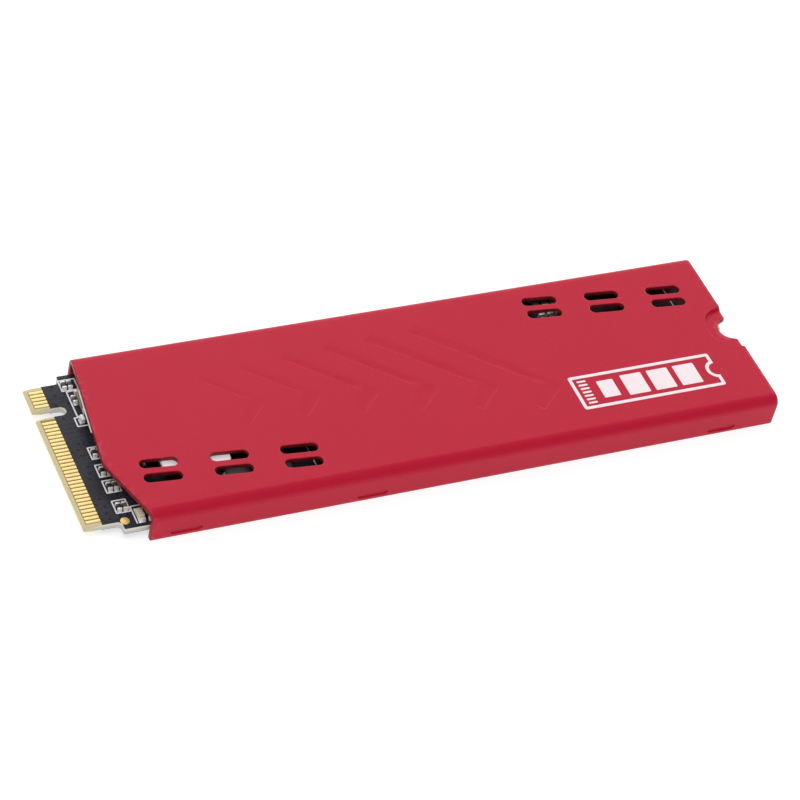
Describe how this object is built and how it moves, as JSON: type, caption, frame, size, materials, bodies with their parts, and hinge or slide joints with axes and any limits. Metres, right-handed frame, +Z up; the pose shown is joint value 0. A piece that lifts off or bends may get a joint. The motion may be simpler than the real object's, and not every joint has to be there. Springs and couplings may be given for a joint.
{
  "type": "solid state drive",
  "caption": "Stick-shaped M.2 2280 solid state drive: circuit card with edge connector, key notch and half-round screw notch, in a red formed sheet-metal heat spreader with vent slots.",
  "frame": {"origin": "under the middle of the card's length, on its centre line, level with the lower edges of the heat spreader's side walls", "axes": "+X from the edge connector towards the screw notch, +Y towards the side with the key notch, +Z up through the component side"},
  "size_m": [0.08, 0.0234, 0.0038],
  "materials": {
    "red_anodised_sheet": "matt red anodised aluminium sheet, fine grain",
    "white_print": "matt white screen-printed ink",
    "thermal_pad": "soft matt silicone pad",
    "laminate": "cut glass-fibre laminate",
    "solder_mask": "satin blue-black solder mask",
    "gold_plating": "gold plating on copper",
    "chip_mould": "fine matt black moulding compound",
    "solder": "bright tin solder",
    "pale_ceramic": "pale matt ceramic",
    "plated_lid": "plated metal lid",
    "inductor_core": "matt pressed ferrite",
    "capacitor_ceramic": "tan fired ceramic",
    "resistor_glaze": "black glaze on ceramic",
    "label_film": "plain matt label film"
  },
  "bodies": {
    "card": {"laminate_core": "laminate", "solder_mask_top": "solder_mask", "solder_mask_bottom": "solder_mask", "contacts_top": "gold_plating", "contacts_bottom": "gold_plating", "screw_ring_top": "gold_plating", "screw_ring_bottom": "gold_plating", "fiducial_marks": "gold_plating", "silkscreen": "white_print", "controller_chip": "chip_mould", "controller_solder_balls": "solder", "memory_chip_front": "chip_mould", "memory_chip_rear": "chip_mould", "memory_solder_balls": "solder", "power_manager_chip": "chip_mould", "load_switch": "chip_mould", "load_switch_terminals": "solder", "firmware_flash": "chip_mould", "crystal_base": "pale_ceramic", "crystal_lid": "plated_lid", "power_inductors": "inductor_core", "inductor_terminals": "solder", "input_capacitor": "capacitor_ceramic", "input_capacitor_terminals": "solder", "small_capacitors": "capacitor_ceramic", "small_capacitor_terminals": "solder", "large_capacitors": "capacitor_ceramic", "large_capacitor_terminals": "solder", "resistors": "resistor_glaze", "resistor_terminals": "solder", "activity_light": "pale_ceramic", "activity_light_terminals": "solder", "underside_label": "label_film", "test_pads": "gold_plating"},
    "cover": {"heat_spreader": "red_anodised_sheet", "printed_mark": "white_print", "front_thermal_pad": "thermal_pad", "controller_thermal_pad": "thermal_pad", "memory_thermal_pads": "thermal_pad"}
  },
  "joints": [
    {"name": "cover_slide", "type": "slide", "parent": "card", "child": "cover", "axis": [1, 0, 0], "range_m": [0, 0.08]}
  ]
}
